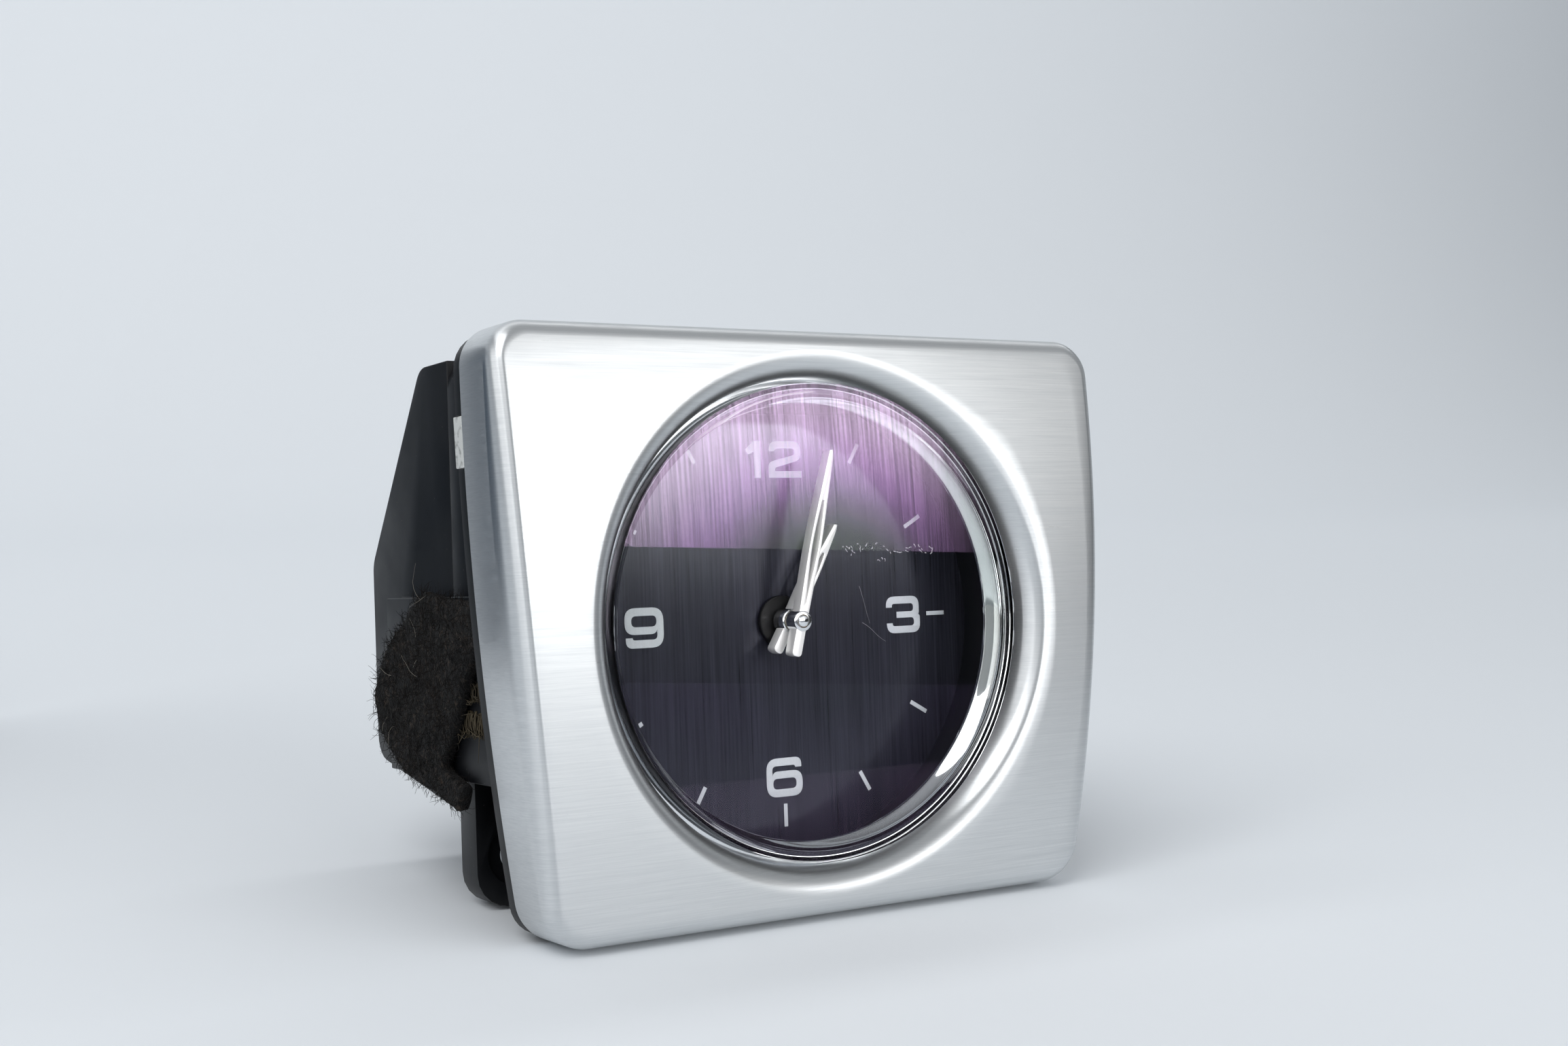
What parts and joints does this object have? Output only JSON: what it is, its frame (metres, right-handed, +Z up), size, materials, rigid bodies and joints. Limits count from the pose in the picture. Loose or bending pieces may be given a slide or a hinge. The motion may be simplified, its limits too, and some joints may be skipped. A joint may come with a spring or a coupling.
{
  "type": "car dashboard clock",
  "caption": "Analogue dashboard clock: brushed trapezoid front plate, domed lens, dark dial with skeleton hands, geared movement, snap-in housing with screw ears.",
  "frame": {"origin": "on the dial axis, at the middle of the part's depth", "axes": "+X to the viewer's right, +Y into the dashboard along the dial axis, +Z up"},
  "size_m": [0.0756, 0.0514, 0.062],
  "materials": {
    "brushed_aluminium": "brushed in level lines, clear anodised",
    "clip_steel": "zinc plated strip, scuffed",
    "black_plastic": "satin moulded",
    "lens_clear": "clear acrylic, purple anti-reflection coat",
    "chrome_plate": "polished plate",
    "gasket_rubber": "moulded",
    "dial_dark": "upright brushed, dark violet anodised",
    "collar_black": "fine grained",
    "guide_clear": "frosted acrylic",
    "gear_plastic": "moulded acetal",
    "brass": "turned",
    "magnet": "sintered",
    "plate_plastic": "moulded",
    "core_iron": "stamped sheet",
    "bobbin_plastic": "moulded",
    "copper_wire": "enamelled winding",
    "board_green": "solder mask",
    "chip_black": "moulded epoxy",
    "can_steel": "drawn can",
    "can_aluminium": "drawn can",
    "lamp_white": "moulded",
    "pin_plated": "tin plated",
    "screw_steel": "zinc plated",
    "felt_black": "needled wool felt"
  },
  "bodies": {
    "case": {"front_bezel": "brushed_aluminium", "bezel_clips": "clip_steel", "carrier_frame": "black_plastic", "lens": "lens_clear", "chrome_ring": "chrome_plate", "ring_gasket": "gasket_rubber", "front_housing": "black_plastic", "dial": "dial_dark", "centre_collar": "collar_black", "light_guide": "guide_clear", "front_plate": "plate_plastic", "back_plate": "plate_plastic", "centre_bush": "brass", "stator": "core_iron", "coil_core": "core_iron", "coil_bobbin": "bobbin_plastic", "coil_winding": "copper_wire", "circuit_board": "board_green", "driver_chip": "chip_black", "quartz_crystal": "can_steel", "capacitors": "can_aluminium", "dial_lamps": "lamp_white", "connector_socket": "black_plastic", "connector_pins": "pin_plated", "rear_cover": "black_plastic", "case_screws": "screw_steel", "movement_screws": "screw_steel", "plate_screws": "screw_steel", "board_screws": "screw_steel", "felt_left": "felt_black", "felt_right": "felt_black"},
    "minute": {"minute_hand": "chrome_plate", "centre_wheel": "brass"},
    "hour": {"hour_hand": "chrome_plate", "hour_wheel": "gear_plastic"},
    "motion": {"motion_wheel": "gear_plastic"},
    "third": {"third_wheel": "gear_plastic"},
    "rotor": {"rotor": "gear_plastic", "rotor_magnet": "magnet"}
  },
  "joints": [
    {"name": "minute_spin", "type": "hinge", "parent": "case", "child": "minute", "pos_m": [0, 0, 0], "axis": [0, 1, 0], "continuous": true},
    {"name": "hour_spin", "type": "hinge", "parent": "case", "child": "hour", "pos_m": [0, 0, 0], "axis": [0, 1, 0], "continuous": true},
    {"name": "motion_spin", "type": "hinge", "parent": "case", "child": "motion", "pos_m": [0.003, 0, 0.0052], "axis": [0, 1, 0], "continuous": true},
    {"name": "third_spin", "type": "hinge", "parent": "case", "child": "third", "pos_m": [-0.00438, 0, -0.00758], "axis": [0, 1, 0], "continuous": true},
    {"name": "rotor_spin", "type": "hinge", "parent": "case", "child": "rotor", "pos_m": [0.00267, 0, -0.01014], "axis": [0, 1, 0], "continuous": true}
  ],
  "couplings": [
    {"joint": "hour_spin", "follows": "minute_spin", "ratio": 0.083333},
    {"joint": "motion_spin", "follows": "minute_spin", "ratio": -0.33333},
    {"joint": "third_spin", "follows": "minute_spin", "ratio": -6},
    {"joint": "rotor_spin", "follows": "minute_spin", "ratio": 30}
  ]
}
